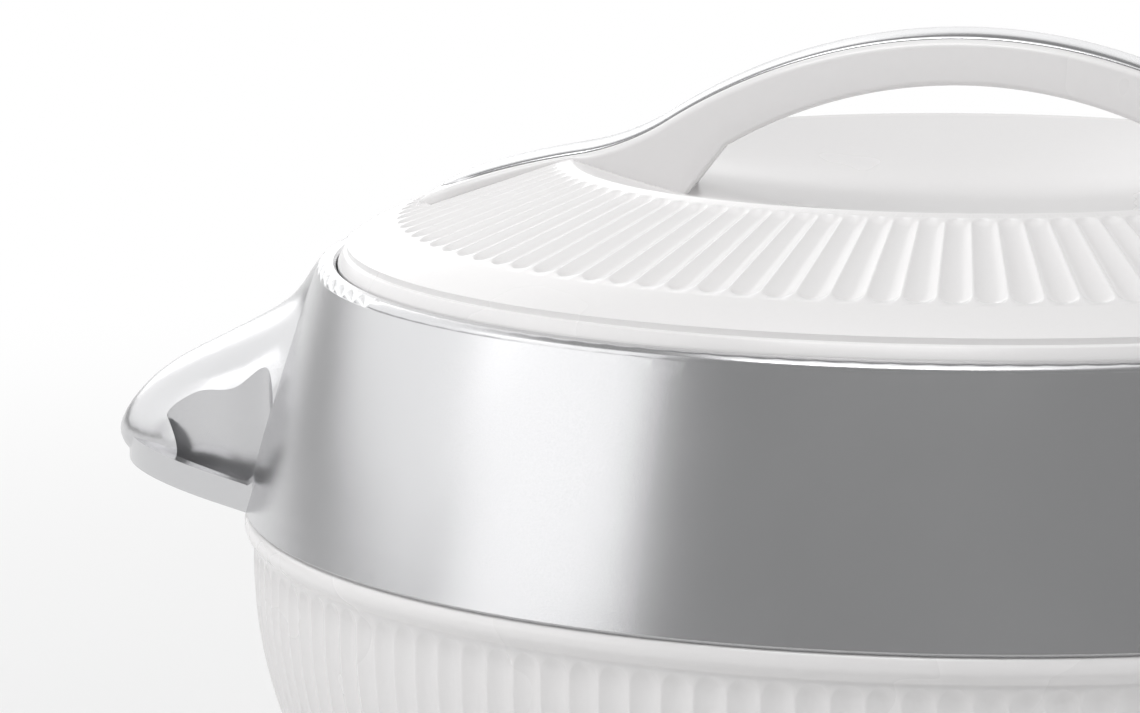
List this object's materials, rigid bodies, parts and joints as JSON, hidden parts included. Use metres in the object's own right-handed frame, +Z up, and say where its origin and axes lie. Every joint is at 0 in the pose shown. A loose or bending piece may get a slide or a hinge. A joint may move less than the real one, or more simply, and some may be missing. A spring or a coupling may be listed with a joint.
{
  "type": "insulated chapati casserole",
  "caption": "Round insulated serving casserole with a fluted bowl, a silver collar with two ears, a steel liner and a lift-off fluted lid with a bridge handle.",
  "frame": {"origin": "on the table, under the middle of the bowl", "axes": "+Z up, +X along the lid handle and through the ears"},
  "size_m": [0.3176, 0.265, 0.1638],
  "materials": {
    "white_gloss": "moulded white plastic, glossy",
    "white_matte": "moulded white plastic, fine grain",
    "silver_satin": "silver-grey metallic paint on plastic, satin",
    "stainless": "stainless steel, satin",
    "plated_steel": "zinc-plated steel",
    "foam": "rigid polyurethane foam",
    "soft_rubber": "soft grey rubber",
    "plug_plastic": "moulded plastic"
  },
  "bodies": {
    "base": {"outer_bowl": "white_gloss", "base_plate": "white_matte", "collar": "silver_satin", "inner_bowl": "stainless", "base_screws": "plated_steel", "body_foam": "foam", "rubber_foot_1": "soft_rubber", "rubber_foot_2": "soft_rubber", "rubber_foot_3": "soft_rubber", "rubber_foot_4": "soft_rubber", "rim_seal": "soft_rubber", "base_foam_plug": "plug_plastic"},
    "lid": {"lid_cover": "white_gloss", "lid_handle": "white_gloss", "handle_inlay": "silver_satin", "handle_screws": "plated_steel", "handle_washers": "plated_steel", "lid_foam": "foam", "lid_liner": "stainless", "lid_gasket": "soft_rubber", "lid_foam_plug": "plug_plastic"}
  },
  "joints": [
    {"name": "lid_lift", "type": "slide", "parent": "base", "child": "lid", "axis": [0, 0, 1], "range_m": [0, 0.15]}
  ]
}
